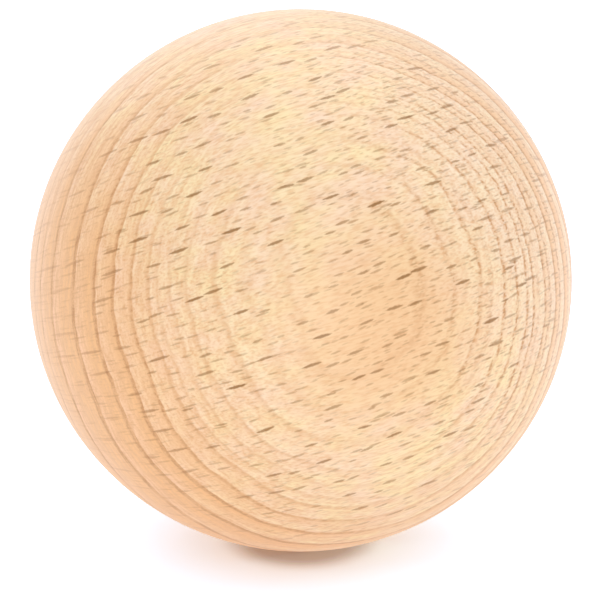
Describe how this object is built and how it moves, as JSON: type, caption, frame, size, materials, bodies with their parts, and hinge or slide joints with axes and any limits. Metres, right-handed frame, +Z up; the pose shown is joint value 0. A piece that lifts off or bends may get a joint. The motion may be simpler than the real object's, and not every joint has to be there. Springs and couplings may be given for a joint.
{
  "type": "wooden ball",
  "caption": "Solid turned beech ball, sanded smooth, for rolling massage, play or bench use; one piece with no flat, bore or seam.",
  "frame": {"origin": "centre of the ball", "axes": "+Z up; the ball touches what it lies on at its lowest point, 35 mm below the origin. -Y faces the picture's camera, +X to its right. The wood grain runs roughly along X."},
  "size_m": [0.07, 0.07, 0.07],
  "materials": {
    "beech": "sanded, bare or thinly waxed, satin"
  },
  "bodies": {
    "root": {"ball": "beech"}
  },
  "joints": []
}
